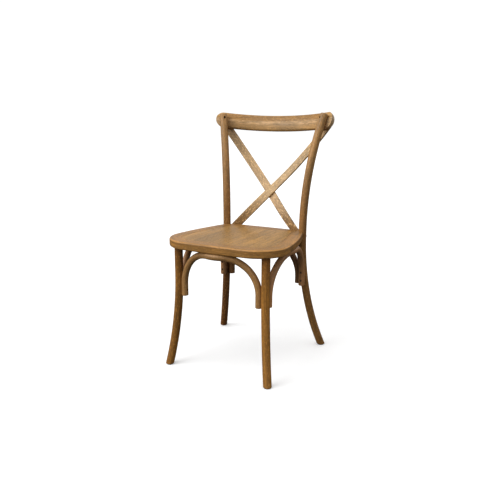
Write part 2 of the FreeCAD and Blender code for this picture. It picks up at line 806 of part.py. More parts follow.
# Bolts through the posts into barrel nuts in the rim
bolt_height = (seat_bottom + panel_low) / 2
bolt_aim = post_direction * -1
bolt_axis_point = Vector(post_seat_x, post_seat_y, bolt_height)
bolt_start = bolt_axis_point - bolt_aim * (rod_radius - bolt_head_height)
nut_centre = bolt_start + bolt_aim * (bolt_length - barrel_nut_diameter)


def bolt(clearance):
    grow = 2 * clearance
    head_start = bolt_start - bolt_aim * (bolt_head_height + clearance)
    head = cylinder(head_start, bolt_aim, bolt_head_height + grow, bolt_head_diameter + grow)
    shank = cylinder(bolt_start, bolt_aim, bolt_length + clearance, bolt_diameter + grow)
    return head.fuse(shank)


def barrel_nut(clearance):
    grow = 2 * clearance
    start = nut_centre - up * (barrel_nut_height / 2 + clearance)
    return cylinder(start, up, barrel_nut_height + grow, barrel_nut_diameter + grow)


one_bolt = bolt(0.0)
socket_start = bolt_start - bolt_aim * (bolt_head_height + 0.1)
one_bolt = one_bolt.cut(cylinder(socket_start, bolt_aim, bolt_head_height * 0.7, bolt_head_diameter / 3))
one_nut = barrel_nut(0.0).cut(cylinder(bolt_start, bolt_aim, bolt_length + 1, bolt_diameter + 2 * bore_clearance))
hardware["post_bolts"] = [one_bolt, mirrored(one_bolt)]
hardware["barrel_nuts"] = [one_nut, mirrored(one_nut)]
bolt_recess = cylinder(bolt_start - bolt_aim * (2 * bolt_head_height), bolt_aim, 2 * bolt_head_height,
                       bolt_head_diameter + 2 * bore_clearance)
nut_drop = cylinder(nut_centre - up * seat_thickness, up, seat_thickness, barrel_nut_diameter + 2 * bore_clearance)
bolt_rooms = [bolt(bore_clearance), bolt_recess]
nut_rooms = [barrel_nut(bore_clearance), nut_drop]
bores.setdefault("rear_post_right", []).extend(bolt_rooms)
bores.setdefault("rear_post_left", []).extend([mirrored(room) for room in bolt_rooms])
for room in bolt_rooms + nut_rooms:
    bores.setdefault("seat_rear_rail", []).extend([room, mirrored(room)])

# Dowels across the joints of the rim
along_y = Vector(0, 1, 0)
dowel_starts = dowel_places()
dowel_starts += [Vector(-start.x, start.y, start.z) for start in dowel_starts]
hardware["rim_dowels"] = [cylinder(start, along_y, dowel_length, dowel_diameter) for start in dowel_starts]
for start in dowel_starts:
    room = cylinder(start - along_y * bore_clearance, along_y, dowel_length + 2 * bore_clearance,
                    dowel_diameter + 2 * bore_clearance)
    for piece in rim_pieces:
        bores.setdefault(piece, []).append(room)

# Glides under the four feet
feet = {
    "glide_front_right": leg_point(glide_height),
    "glide_front_left": leg_point(glide_height, -1),
    "glide_rear_right": post_point(glide_height),
    "glide_rear_left": post_point(glide_height, -1),
}
foot_of = {
    "glide_front_right": "front_leg_right",
    "glide_front_left": "front_leg_left",
    "glide_rear_right": "rear_post_right",
    "glide_rear_left": "rear_post_left",
}
for node, point in feet.items():
    save(glide(point), node)
    bores.setdefault(foot_of[node], []).append(glide_pin(point, wood_clearance))

for node, shape in wood.items():
    near = [room for room in bores.get(node, []) if room.BoundBox.intersect(shape.BoundBox)]
    finished = shape.cut(near) if near else shape
    save(only_solid(finished), node)

for node, solids in hardware.items():
    save(Part.makeCompound(solids), node)
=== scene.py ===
"""Cross back dining chair: the finishes of its wood, steel and glides, and its stage.

The file is laid out as an add-on and run as a script. Lengths are in metres, +Z is up and
the sitter faces -Y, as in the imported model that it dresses.
"""
import math

import bpy
from mathutils import Matrix, Vector

bl_info = {
    "name": "Cross Back Chair",
    "version": (1, 0, 0),
    "blender": (4, 5, 0),
    "location": "3D View > Sidebar > Chair",
    "description": "Finishes the wood, steel and glides of a cross back chair and sets its stage",
    "category": "Object",
}

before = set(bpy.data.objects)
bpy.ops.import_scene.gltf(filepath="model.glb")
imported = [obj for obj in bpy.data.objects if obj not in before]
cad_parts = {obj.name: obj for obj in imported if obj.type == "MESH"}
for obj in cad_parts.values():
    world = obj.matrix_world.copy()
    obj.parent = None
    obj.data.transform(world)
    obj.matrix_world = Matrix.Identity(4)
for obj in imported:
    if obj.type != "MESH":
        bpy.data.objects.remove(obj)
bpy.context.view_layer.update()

posts = ("rear_post_left", "rear_post_right")
legs = ("front_leg_left", "front_leg_right")
side_arches = ("side_arch_left", "side_arch_right")
rim_sides = ("seat_side_left", "seat_side_right")
screws = (
    "front_arch_screws",
    "rear_arch_screws",
    "side_arch_screws_left",
    "side_arch_screws_right",
    "arch_top_screws",
    "rail_screws",
    "slat_head_screws",
    "slat_foot_screws",
    "slat_cross_screw",
    "panel_screws",
)
bolts = ("post_bolts", "barrel_nuts")
glides = ("glide_front_left", "glide_front_right", "glide_rear_left", "glide_rear_right")

rail_half_length = 0.2383
rail_bow = 0.0525
rail_crest_level = 0.8677
rail_crest_dip = 0.0153


# The maker of materials


class Number:
    """A number socket, so that sums on it are written as Python."""

    def __init__(self, recipe, socket):
        self.recipe = recipe
        self.socket = socket

    def __add__(self, other):
        return self.recipe.sum("ADD", self, other)

    def __sub__(self, other):
        return self.recipe.sum("SUBTRACT", self, other)

    def __rsub__(self, other):
        return self.recipe.sum("SUBTRACT", other, self)

    def __mul__(self, other):
        return self.recipe.sum("MULTIPLY", self, other)

    def __truediv__(self, other):
        return self.recipe.sum("DIVIDE", self, other)

    def __rtruediv__(self, other):
        return self.recipe.sum("DIVIDE", other, self)

    def __neg__(self):
        return self.recipe.sum("MULTIPLY", self, -1.0)

    def __abs__(self):
        return self.recipe.sum("ABSOLUTE", self)

    __radd__ = __add__
    __rmul__ = __mul__


class Recipe:
    """One material, built node by node."""

    def __init__(self, name):
        self.material = bpy.data.materials.new(name)
        self.material.use_nodes = True
        self.tree = self.material.node_tree
        self.tree.nodes.clear()

    def node(self, kind, settings=None, sockets=None):
        """Adds a node of any type: its settings first, then its sockets' values or links."""
        made = self.tree.nodes.new("ShaderNode" + kind)
        for name, value in (settings or {}).items():
            if name == "stops":
                stops = made.color_ramp.elements
                while len(stops) < len(value):
                    stops.new(1.0)
                for stop, (place, colour) in zip(stops, value):
                    stop.position = place
                    stop.color = (*colour, 1.0)
            else:
                setattr(made, name, value)
        for name, value in (sockets or {}).items():
            value = getattr(value, "socket", value)
            if isinstance(value, bpy.types.NodeSocket):
                self.tree.links.new(value, made.inputs[name])
            else:
                made.inputs[name].default_value = value
        return made

    def sum(self, operation, *values):
        made = self.node("Math", {"operation": operation}, dict(enumerate(values)))
        return Number(self, made.outputs[0])

    def most(self, a, b):
        return self.sum("MAXIMUM", a, b)

    def least(self, a, b):
        return self.sum("MINIMUM", a, b)

    def place(self):
        """The point's place on the chair, as three numbers in metres."""
        read = self.node("TexCoord")
        parts = self.node("SeparateXYZ", None, {0: read.outputs["Object"]})
        return [Number(self, part) for part in parts.outputs]

    def fade(self, value, start, end, low=0.0, high=1.0):
        """A smooth step from low to high as the value goes from start to end."""
        made = self.node(
            "MapRange",
            {"interpolation_type": "SMOOTHSTEP"},
            {"Value": value, "From Min": start, "From Max": end, "To Min": low, "To Max": high},
        )
        return Number(self, made.outputs[0])

    def noise(self, grain, length, width, detail=2.0, rough=0.5, bend=0.0):
        """Noise with lumps of about that length along the grain and that width across it."""
        along, across, depth = grain
        vector = self.node(
            "CombineXYZ",
            None,
            {0: along * (1 / length), 1: across * (1 / width), 2: depth * (1 / width)},
        )
        made = self.node(
            "TexNoise",
            None,
            {
                "Vector": vector.outputs[0],
                "Scale": 1.0,
                "Detail": detail,
                "Roughness": rough,
                "Distortion": bend,
            },
        )
        return Number(self, made.outputs[0])

    def mix(self, factor, first, second, blend="MIX"):
        """A colour between two colours."""
        made = self.node(
            "Mix", {"data_type": "RGBA", "blend_type": blend}, {0: factor, 6: first, 7: second}
        )
        return made.outputs[2]

    def finish(self, colour, roughness, height, depth, **uniform):
        """The shader: what varies is linked, and what is the same all over is set."""
        bump = self.node("Bump", None, {"Strength": 1.0, "Distance": depth, "Height": height})
        sockets = {"Base Color": colour, "Roughness": roughness, "Normal": bump.outputs[0]}
        sockets.update({name.replace("_", " "): value for name, value in uniform.items()})
        shader = self.node("BsdfPrincipled", None, sockets)
        self.node("OutputMaterial", None, {0: shader.outputs[0]})
        return self.material


# How the grain runs in each kind of piece: along it, across it and through it


def of_side(recipe, x, grain, shift=0.41):
    """Moves the pattern on the left-hand piece, so that a pair isn't a mirror image."""
    along, across, depth = grain
    return along + recipe.sum("SIGN", x) * shift, across, depth


def post_grain(recipe):
    """A post is straight at the seat, and bends outwards and back above it and below it."""
    x, y, z = recipe.place()
    seat_level, radius_above, radius_below = 0.45, 1.207, 1.056
    out, back = 0.6388, 0.7694
    rise = recipe.most(z - seat_level, 0.0)
    fall = recipe.most(seat_level - z, 0.0)
    bow = rise * rise * (0.5 / radius_above) + fall * fall * (0.5 / radius_below)
    return of_side(recipe, x, (z, abs(x) - 0.1604 - bow * out, y - 0.1245 - bow * back))


def leg_grain(recipe):
    """A leg is straight at the top, and bends outwards and forwards below."""
    x, y, z = recipe.place()
    bend_level, radius = 0.337, 1.336
    out, forward = 0.6307, 0.776
    fall = recipe.most(bend_level - z, 0.0)
    bow = fall * fall * (0.5 / radius)
    return of_side(recipe, x, (z, abs(x) - 0.168 - bow * out, y + 0.197 + bow * forward))


def round_bend(recipe, u, w, radius):
    """Along and across a strip that turns a quarter circle about u = w = 0."""
    out = recipe.most(u, 0.0)
    up = recipe.most(w, 0.0)
    turn = recipe.sum("ARCTAN2", up, out) * radius
    return turn + recipe.least(w, 0.0) - recipe.least(u, 0.0), recipe.sum("SQRT", out * out + up * up)


def front_arch_grain(recipe):
    """Each half of an arch turns off its own plane as it comes down to the leg."""
    x, y, z = recipe.place()
    turn_off = 0.302
    along, across = round_bend(recipe, abs(x) * 1.0447 - 0.0286, z - 0.2981, radius=0.122)
    return of_side(recipe, x, (along, across, y + 0.2414 - abs(x) * turn_off), 0.33)


def rear_arch_grain(recipe):
    x, y, z = recipe.place()
    turn_off = 0.068
    along, across = round_bend(recipe, abs(x) * 1.0023 - 0.0076, z - 0.2841, radius=0.136)
    return of_side(recipe, x, (along, across, y - 0.1236 - abs(x) * turn_off), 0.57)


def side_arch_grain(recipe):
    x, y, z = recipe.place()
    turn_off = 0.168
    from_crown = abs(y + 0.0321)
    along, across = round_bend(recipe, from_crown * 1.0141 - 0.0132, z - 0.2901, radius=0.130)
    return of_side(recipe, x, (along, across, abs(x) - 0.1924 + from_crown * turn_off), 0.71)


def rail_grain(recipe):
    """The rail bows back in the middle and leans back as it rises."""
    x, y, z = recipe.place()
    bow = x * x * (rail_bow / rail_half_length**2)
    lean = (z - 0.859) * 0.3038
    return x, z, y - 0.2437 + bow - lean


def slat_grain(recipe, way):
    """The slat that climbs towards +X has way 1, and its mirror image has way -1."""
    x, y, z = recipe.place()
    run = x * way
    crossing_level, slope, curl = 0.5893, 1.09, 0.35
    along_run, along_rise = 0.676, 0.737
    off = z - crossing_level - run * slope - run * run * curl
    return run * along_run + z * along_rise + way * 0.8, off * along_run, y


def rim_front_grain(recipe):
    """The rim's grain goes round the corners of the seat."""
    x, y, z = recipe.place()
    along, across = round_bend(recipe, abs(x) - 0.118, -y - 0.1445, radius=0.108)
    return of_side(recipe, x, (along, across, z), 0.27)


def rim_rear_grain(recipe):
    x, y, z = recipe.place()
    along, across = round_bend(recipe, abs(x) - 0.102, y - 0.0835, radius=0.056)
    return of_side(recipe, x, (along, across, z), 0.63)


def rim_side_grain(recipe):
    x, y, z = recipe.place()
    taper = 0.31
    return of_side(recipe, x, (y, abs(x) + y * taper, z), 0.19)


def panel_grain(recipe):
    x, y, z = recipe.place()
    return y, x, z


# The finishes


def shade(colour, factor):
    return tuple(min(part * factor, 1.0) for part in colour[:3])


def wood(name, grain, colour, planks=None, flecks=0.35, painted_light=None):
    """Oiled open-grained hardwood: bands, fibres, dark pores, pale flecks and blotches.

    The last argument, if given, paints light and shade into the colour, which the grain doesn't give:
    it takes the recipe and a colour and gives a colour.
    """
    look = bpy.context.scene.chair_wood
    recipe = Recipe(name)
    grain = grain(recipe)
    along, across, depth = grain
    if planks:
        step = across / planks.width
        number = recipe.sum("FLOOR", step)
        chance = recipe.node("TexWhiteNoise", {"noise_dimensions": "1D"}, {"W": number})
        tone = Number(recipe, chance.outputs["Value"])
        from_joint = abs(recipe.sum("FRACT", step) - 0.5) * planks.width
        joint = recipe.fade(
            from_joint, 0.5 * planks.width - planks.joint_width, 0.5 * planks.width, 0.0, 1.0
        )
        grain = along + number * 0.37, across, depth
    bands = recipe.noise(grain, look.band_length, look.band_width, detail=3.0, rough=0.55, bend=0.5)
    fibres = recipe.noise(grain, look.fibre_length, look.fibre_width, detail=4.0, rough=0.6)
    pores = recipe.noise(grain, look.pore_length, look.pore_width, detail=1.0)
    pores = recipe.fade(pores, 0.60, 0.72)
    pale = recipe.noise(grain, look.fleck_length, look.fleck_width, detail=1.5, bend=0.3)
    pale = recipe.fade(pale, 0.54, 0.66)
    apart = along + 3.1, across, depth
    dark = recipe.noise(apart, look.fleck_length * 1.3, look.fleck_width * 0.92, detail=1.5)
    dark = recipe.fade(dark, 0.58, 0.70)
    further = along + 7.7, across, depth
    blotch = recipe.noise(further, look.blotch_length, look.blotch_width, rough=0.6)
    figure = bands * 0.55 + fibres * 0.45
    if planks:
        figure = figure + (tone - 0.5) * planks.tone
    ramp = recipe.node(
        "ValToRGB",
        {
            "stops": (
                (0.30, shade(colour, 0.52)),
                (0.47, shade(colour, 0.86)),
                (0.58, shade(colour, 1.12)),
                (0.74, shade(colour, 1.55)),
            )
        },
        {0: figure},
    )
    tint = recipe.mix(recipe.fade(blotch, 0.3, 0.7), (0.84, 0.86, 0.90, 1), (1.14, 1.12, 1.08, 1))
    tint = recipe.mix(1.0, ramp.outputs[0], tint, "MULTIPLY")
    # Painted light and shade, on the pieces that have it.
    if painted_light:
        tint = painted_light(recipe, tint)
    tint = recipe.mix(pale * (0.55 * flecks), tint, (*shade(colour, 2.0), 1))
    tint = recipe.mix(dark * (0.40 * flecks), tint, (*shade(colour, 0.40), 1))
    tint = recipe.mix(pores * look.pore_strength, tint, (*shade(colour, 0.22), 1))
    height = fibres * 0.5 + bands * 0.2 - pores * 0.9
    if planks:
        tint = recipe.mix(joint * 0.38, tint, (*shade(colour, 0.35), 1))
        height = height - joint * 3.0
    roughness = fibres * 0.16 + pores * 0.2 + (look.roughness - 0.08)
    return recipe.finish(
        tint,
        roughness,
        height,
        look.grain_depth,
        Coat_Weight=look.coat,
        Coat_Roughness=0.32,
        Specular_IOR_Level=0.34,
    )


def steel(name, colour, roughness):
    """Plated steel with turning marks and small dull spots."""
    recipe = Recipe(name)
    grain = recipe.place()
    marks = recipe.noise(grain, 0.0004, 0.0004, 3.0, 0.6)
    spots = recipe.noise(grain, 0.0022, 0.0022, 2.0)
    tint = recipe.mix(recipe.fade(spots, 0.35, 0.7), (*colour[:3], 1), (*shade(colour, 0.62), 1))
    return recipe.finish(
        tint, spots * 0.25 + marks * 0.12 + roughness - 0.15, marks, 0.00004, Metallic=1.0
    )


def plastic(name, colour):
    """Moulded plastic with a fine grain and rubbed patches."""
    recipe = Recipe(name)
    grain = recipe.place()
    fine = recipe.noise(grain, 0.0006, 0.0006, 2.0, 0.6)
    wear_and_highlight = recipe.fade(recipe.noise(grain, 0.006, 0.006, 3.0), 0.45, 0.7)
    tint = recipe.mix(wear_and_highlight * 0.5, (*colour[:3], 1), (*shade(colour, 2.2), 1))
    return recipe.finish(tint, fine * 0.15 + wear_and_highlight * 0.12 + 0.42, fine, 0.00005)


def painted_light_and_shade_by_height(recipe, tint, start, end, dark, pale):
    """Painted shade and light by height: the colour is multiplied by dark at the height of start and
    by pale at that of end.
    """
    z = recipe.place()[2]
    # Painted shade towards start, painted light towards end.
    height_light_and_shade = recipe.mix(recipe.fade(z, start, end), (*dark, 1), (*pale, 1))
    return recipe.mix(1.0, tint, height_light_and_shade, "MULTIPLY")


def left_side(recipe):
    """1 on the left-hand piece of a pair, and 0 on the right-hand one."""
    x = recipe.place()[0]
    return recipe.fade(x, 0.0, -0.001)


def post_painted_light_and_shade(recipe, tint):
    """Painted shade on both posts under the seat, deeper on the left-hand one, and painted light
    higher up.
    """
    # Painted shade low down by the seat, painted light towards the top.
    tint = painted_light_and_shade_by_height(recipe, tint, 0.42, 0.85, (0.77, 0.71, 0.64), (1.22, 1.28, 1.44))
    z = recipe.place()[2]
    # Painted shade on the left-hand post under the seat.
    left_foot_painted_shade = left_side(recipe) * recipe.fade(z, 0.46, 0.40)
    return recipe.mix(left_foot_painted_shade, tint, (0.70, 0.58, 0.56, 1), "MULTIPLY")


def leg_painted_shade(recipe, tint):
    """Painted shade on both legs close under the seat, and on the left-hand leg all over."""
    tint = painted_light_and_shade_by_height(recipe, tint, 0.42, 0.33, (0.82, 0.76, 0.72), (1.0, 1.0, 1.0))
    # Painted shade: the left-hand leg is made darker all over.
    return recipe.mix(left_side(recipe), tint, (0.76, 0.75, 0.72, 1), "MULTIPLY")


def slat_painted_shade(recipe, tint):
    """The slats are paler higher up, and carry painted shade down at their feet by the seat."""
    # Painted shade at the slats' feet, paler above.
    return painted_light_and_shade_by_height(recipe, tint, 0.44, 0.60, (0.45, 0.37, 0.26), (1.11, 1.13, 1.17))


def rail_painted_light(recipe, tint):
    """Painted shade on the bevel above the rail's crest, a painted reflection on the face below it, a
    painted highlight along the crest, and painted highlights on both ends.
    """
    x, y, z = recipe.place()
    crest = rail_crest_level - rail_crest_dip * (1.0 - x * x * (1 / rail_half_length**2))
    # Painted shade on the bevel and a painted reflection on the face.
    above = recipe.fade(z - crest, -0.0006, 0.0010)
    face_reflection_and_bevel_shade = recipe.mix(above, (1.05, 1.08, 1.22, 1), (0.80, 0.70, 0.48, 1))
    tint = recipe.mix(1.0, tint, face_reflection_and_bevel_shade, "MULTIPLY")
    # Painted highlight along the crest, broken up by noise.
    crest_highlight_noise = recipe.noise((x, z, y), length=0.045, width=0.007, detail=3.0, rough=0.6)
    near_crest = recipe.fade(abs(z - crest + 0.008), 0.010, 0.002)
    wear_and_highlight = recipe.fade(crest_highlight_noise, 0.42, 0.60) * near_crest
    tint_between = recipe.mix(wear_and_highlight, tint, (1.50, 1.58, 1.90, 1), "MULTIPLY")
    # Painted highlight on the rail's ends.
    ends_painted_highlight = recipe.mix(1.0, tint, (1.50, 1.72, 2.35, 1), "MULTIPLY")
    return recipe.mix(recipe.fade(abs(x), 0.190, 0.226), tint_between, ends_painted_highlight)


def rim_painted_light(recipe, tint):
    """A painted highlight along the rim's rounded top edge, with painted shade in a line below it."""
    z = recipe.place()[2]
    # Painted highlight on the rounded top edge.
    edge = recipe.fade(z, 0.4545, 0.4562) * recipe.fade(z, 0.45895, 0.4584)
    # Painted shade in a line below the edge.
    below = recipe.fade(abs(z - 0.4525), 0.0022, 0.0006)
    shaded_under_edge = recipe.mix(below * 0.5, tint, (0.55, 0.50, 0.45, 1), "MULTIPLY")
    wear_and_highlight = recipe.mix(1.0, tint, (1.70, 1.72, 1.80, 1), "MULTIPLY")
    return recipe.mix(edge * 0.8, shaded_under_edge, wear_and_highlight)


def dress(names, material):
    for name in names:
        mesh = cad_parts[name].data
        mesh.materials.clear()
        mesh.materials.append(material)


# What a user would change


def wood_colour(name, description, default):
    return bpy.props.FloatVectorProperty(
        name=name,
        description=description,
        default=default,
        min=0.0,
        max=1.0,
        size=3,
        subtype="COLOR",
    )


def length(name, description, default):
    return bpy.props.FloatProperty(
        name=name, description=description, default=default, min=0.0, unit="LENGTH", precision=5
    )


def share(name, description, default):
    return bpy.props.FloatProperty(
        name=name, description=description, default=default, min=0.0, max=2.0, subtype="FACTOR"
    )


def light_place(name, description, default):
    return bpy.props.FloatVectorProperty(
        name=name, description=description, default=default, subtype="TRANSLATION", unit="LENGTH"
    )


class ChairColours(bpy.types.PropertyGroup):
    """The middle colour of each group of pieces."""

    posts: wood_colour("Posts", "Wood of the two rear posts", (0.362, 0.184, 0.054))
    legs: wood_colour("Legs", "Wood of the two front legs", (0.367, 0.163, 0.030))
    rail: wood_colour("Top rail", "Wood of the top rail", (0.470, 0.265, 0.090))
    front_slat: wood_colour("Front slat", "Wood of the slat in front", (0.487, 0.316, 0.144))
    rear_slat: wood_colour("Rear slat", "Wood of the slat behind", (0.517, 0.330, 0.155))
    front_arch: wood_colour("Front arch", "Wood of the front arch", (0.419, 0.220, 0.076))
    rear_arch: wood_colour("Rear arch", "Wood of the rear arch", (0.242, 0.113, 0.038))
    side_arches: wood_colour("Side arches", "Wood of the side arches", (0.462, 0.229, 0.093))
    rim: wood_colour("Seat rim", "Wood of the four rim pieces", (0.395, 0.189, 0.044))
    panel: wood_colour("Seat panel", "Wood of the seat's panel", (0.409, 0.212, 0.050))
    dowels: wood_colour("Dowels", "Wood of the dowels in the rim", (0.45, 0.30, 0.16))
    screws: wood_colour("Screws", "Bronzed steel of the screws", (0.21, 0.135, 0.085))
    bolts: wood_colour("Bolts", "Plated steel of the bolts", (0.50, 0.49, 0.47))
    glides: wood_colour("Glides", "Plastic under the feet", (0.035, 0.028, 0.024))


class ChairWood(bpy.types.PropertyGroup):
    """How coarse and how glossy the wood is."""

    band_length: length("Band length", "Length of the broad bands of the grain", 0.14)
    band_width: length("Band width", "Width of the broad bands of the grain", 0.007)
    fibre_length: length("Fibre length", "Length of the fine streaks", 0.030)
    fibre_width: length("Fibre width", "Width of the fine streaks", 0.0013)
    pore_length: length("Pore length", "Length of an open pore", 0.012)
    pore_width: length("Pore width", "Width of an open pore", 0.0009)
    fleck_length: length("Fleck length", "Length of the pale flecks", 0.010)
    fleck_width: length("Fleck width", "Width of the pale flecks", 0.0050)
    blotch_length: length("Blotch length", "Length of the patches where the stain took more", 0.16)
    blotch_width: length("Blotch width", "Width of the patches where the stain took more", 0.07)
    grain_depth: length("Grain depth", "How deep the open grain is", 0.00035)
    pore_strength: share("Pore strength", "How dark the open pores are", 0.55)
    roughness: share("Roughness", "How matt the oiled wood is", 0.43)
    coat: share("Coat", "How much the satin coat shows", 0.16)


class ChairPlanks(bpy.types.PropertyGroup):
    """The boards that the seat's panel is glued up from."""

    width: length("Board width", "Width of one board", 0.034)
    joint_width: length("Joint width", "Width of the line between two boards", 0.0011)
    tone: share("Tone", "How much one board differs from the next", 0.10)


class ChairStage(bpy.types.PropertyGroup):
    """The floor, the light and the camera."""

    azimuth: bpy.props.FloatProperty(
        name="Azimuth",
        description="How far the camera stands round to the right of the front",
        default=math.radians(27.59),
        subtype="ANGLE",
        unit="ROTATION",
    )
    elevation: bpy.props.FloatProperty(
        name="Elevation",
        description="How far the camera looks down",
        default=math.radians(13.112),
        subtype="ANGLE",
        unit="ROTATION",
    )
    roll: bpy.props.FloatProperty(
        name="Roll",
        description="How far the camera is turned about its own line of sight",
        default=math.radians(0.332),
        subtype="ANGLE",
        unit="ROTATION",
    )
    place: bpy.props.FloatVectorProperty(
        name="Place",
        description="Where the camera stands",
        default=(0.8881, -1.6852, 0.8383),
        subtype="TRANSLATION",
        unit="LENGTH",
    )
    lens: bpy.props.FloatProperty(
        name="Lens",
        description="Focal length on a sensor 36 mm wide",
        default=38.631,
        unit="CAMERA",
    )
    floor: wood_colour("Floor", "Colour of the pale floor", (0.94, 0.94, 0.94))
    floor_glow: share("Floor glow", "How much of the floor's white doesn't take shadows", 0.20)
    sky: share("Sky", "Strength of the soft light from all round above", 0.72)
    key: share("Key light", "Strength of the wide soft light at the front left", 1.7)
    top: share("Top light", "Strength of the wide soft light above", 0.5)
    key_from: light_place("Key light from", "Where the key light comes from", (-1.8, -2.3, 2.2))
    top_from: light_place("Top light from", "Where the top light comes from", (-0.3, -0.5, 2.6))
    softness: bpy.props.FloatProperty(
        name="Softness",
        description="How wide the two lights look from the chair",
        default=math.radians(50.0),
        subtype="ANGLE",
        unit="ROTATION",
    )


# One operator for each piece or group of like pieces


class CHAIR_OT_posts(bpy.types.Operator):
    """Finishes the two bent rear posts"""

    bl_idname = "chair.posts"
    bl_label = "Rear Posts"
    bl_options = {"REGISTER", "UNDO"}

    def execute(self, context):
        scene = context.scene
        colour = scene.chair_colours.posts
        dress(posts, wood("rear_post_oak", post_grain, colour, flecks=0.55, painted_light=post_painted_light_and_shade))
        return {"FINISHED"}


class CHAIR_OT_legs(bpy.types.Operator):
    """Finishes the two front legs"""

    bl_idname = "chair.legs"
    bl_label = "Front Legs"
    bl_options = {"REGISTER", "UNDO"}

    def execute(self, context):
        scene = context.scene
        colour = scene.chair_colours.legs
        dress(legs, wood("front_leg_oak", leg_grain, colour, flecks=0.6, painted_light=leg_painted_shade))
        return {"FINISHED"}


class CHAIR_OT_rail(bpy.types.Operator):
    """Finishes the curved top rail"""

    bl_idname = "chair.rail"
    bl_label = "Top Rail"
    bl_options = {"REGISTER", "UNDO"}

    def execute(self, context):
        scene = context.scene
        colour = scene.chair_colours.rail
        dress(("top_rail",), wood("top_rail_oak", rail_grain, colour, painted_light=rail_painted_light))
        return {"FINISHED"}


class CHAIR_OT_slats(bpy.types.Operator):
    """Finishes the two crossing slats"""

    bl_idname = "chair.slats"
    bl_label = "Crossing Slats"
    bl_options = {"REGISTER", "UNDO"}

    def execute(self, context):
        scene = context.scene
        colours = scene.chair_colours
        for node, way, colour in (
            ("cross_slat_front", 1, colours.front_slat),
            ("cross_slat_rear", -1, colours.rear_slat),
        ):
            grain = lambda recipe, way=way: slat_grain(recipe, way)
            dress((node,), wood(node + "_oak", grain, colour, flecks=1.1, painted_light=slat_painted_shade))
        return {"FINISHED"}


class CHAIR_OT_arches(bpy.types.Operator):
    """Finishes the four arched braces under the seat"""

    bl_idname = "chair.arches"
    bl_label = "Arched Braces"
    bl_options = {"REGISTER", "UNDO"}

    def execute(self, context):
        scene = context.scene
        colours = scene.chair_colours
        dress(("front_arch",), wood("front_arch_oak", front_arch_grain, colours.front_arch))
        dress(("rear_arch",), wood("rear_arch_oak", rear_arch_grain, colours.rear_arch))
        dress(side_arches, wood("side_arch_oak", side_arch_grain, colours.side_arches))
        return {"FINISHED"}


class CHAIR_OT_rim(bpy.types.Operator):
    """Finishes the four pieces of the seat's rim"""

    bl_idname = "chair.rim"
    bl_label = "Seat Rim"
    bl_options = {"REGISTER", "UNDO"}

    def execute(self, context):
        scene = context.scene
        colour = scene.chair_colours.rim
        for nodes, name, grain, tone in (
            (("seat_front_rail",), "rim_front_oak", rim_front_grain, 1.0),
            (("seat_rear_rail",), "rim_rear_oak", rim_rear_grain, 0.80),
            (rim_sides, "rim_side_oak", rim_side_grain, 0.95),
        ):
            dress(nodes, wood(name, grain, shade(colour, tone), painted_light=rim_painted_light))
        return {"FINISHED"}


class CHAIR_OT_panel(bpy.types.Operator):
    """Finishes the seat's panel of glued boards"""

    bl_idname = "chair.panel"
    bl_label = "Seat Panel"
    bl_options = {"REGISTER", "UNDO"}

    def execute(self, context):
        scene = context.scene
        colour = scene.chair_colours.panel
        dress(("seat_panel",), wood("seat_panel_oak", panel_grain, colour, scene.chair_planks))
        return {"FINISHED"}


class CHAIR_OT_dowels(bpy.types.Operator):
    """Finishes the dowels in the rim's joints"""

    bl_idname = "chair.dowels"
    bl_label = "Dowels"
    bl_options = {"REGISTER", "UNDO"}

    def execute(self, context):
        scene = context.scene
        dress(("rim_dowels",), wood("dowel_beech", panel_grain, scene.chair_colours.dowels))
        return {"FINISHED"}


class CHAIR_OT_fasteners(bpy.types.Operator):
    """Finishes the screws, the bolts and their barrel nuts"""

    bl_idname = "chair.fasteners"
    bl_label = "Fasteners"
    bl_options = {"REGISTER", "UNDO"}

    def execute(self, context):
        scene = context.scene
        dress(screws, steel("screw_bronzed_steel", scene.chair_colours.screws, 0.42))
        dress(bolts, steel("bolt_plated_steel", scene.chair_colours.bolts, 0.34))
        return {"FINISHED"}


class CHAIR_OT_glides(bpy.types.Operator):
    """Finishes the glides under the feet"""

    bl_idname = "chair.glides"
    bl_label = "Glides"
    bl_options = {"REGISTER", "UNDO"}

    def execute(self, context):
        scene = context.scene
        dress(glides, plastic("glide_plastic", scene.chair_colours.glides))
        return {"FINISHED"}


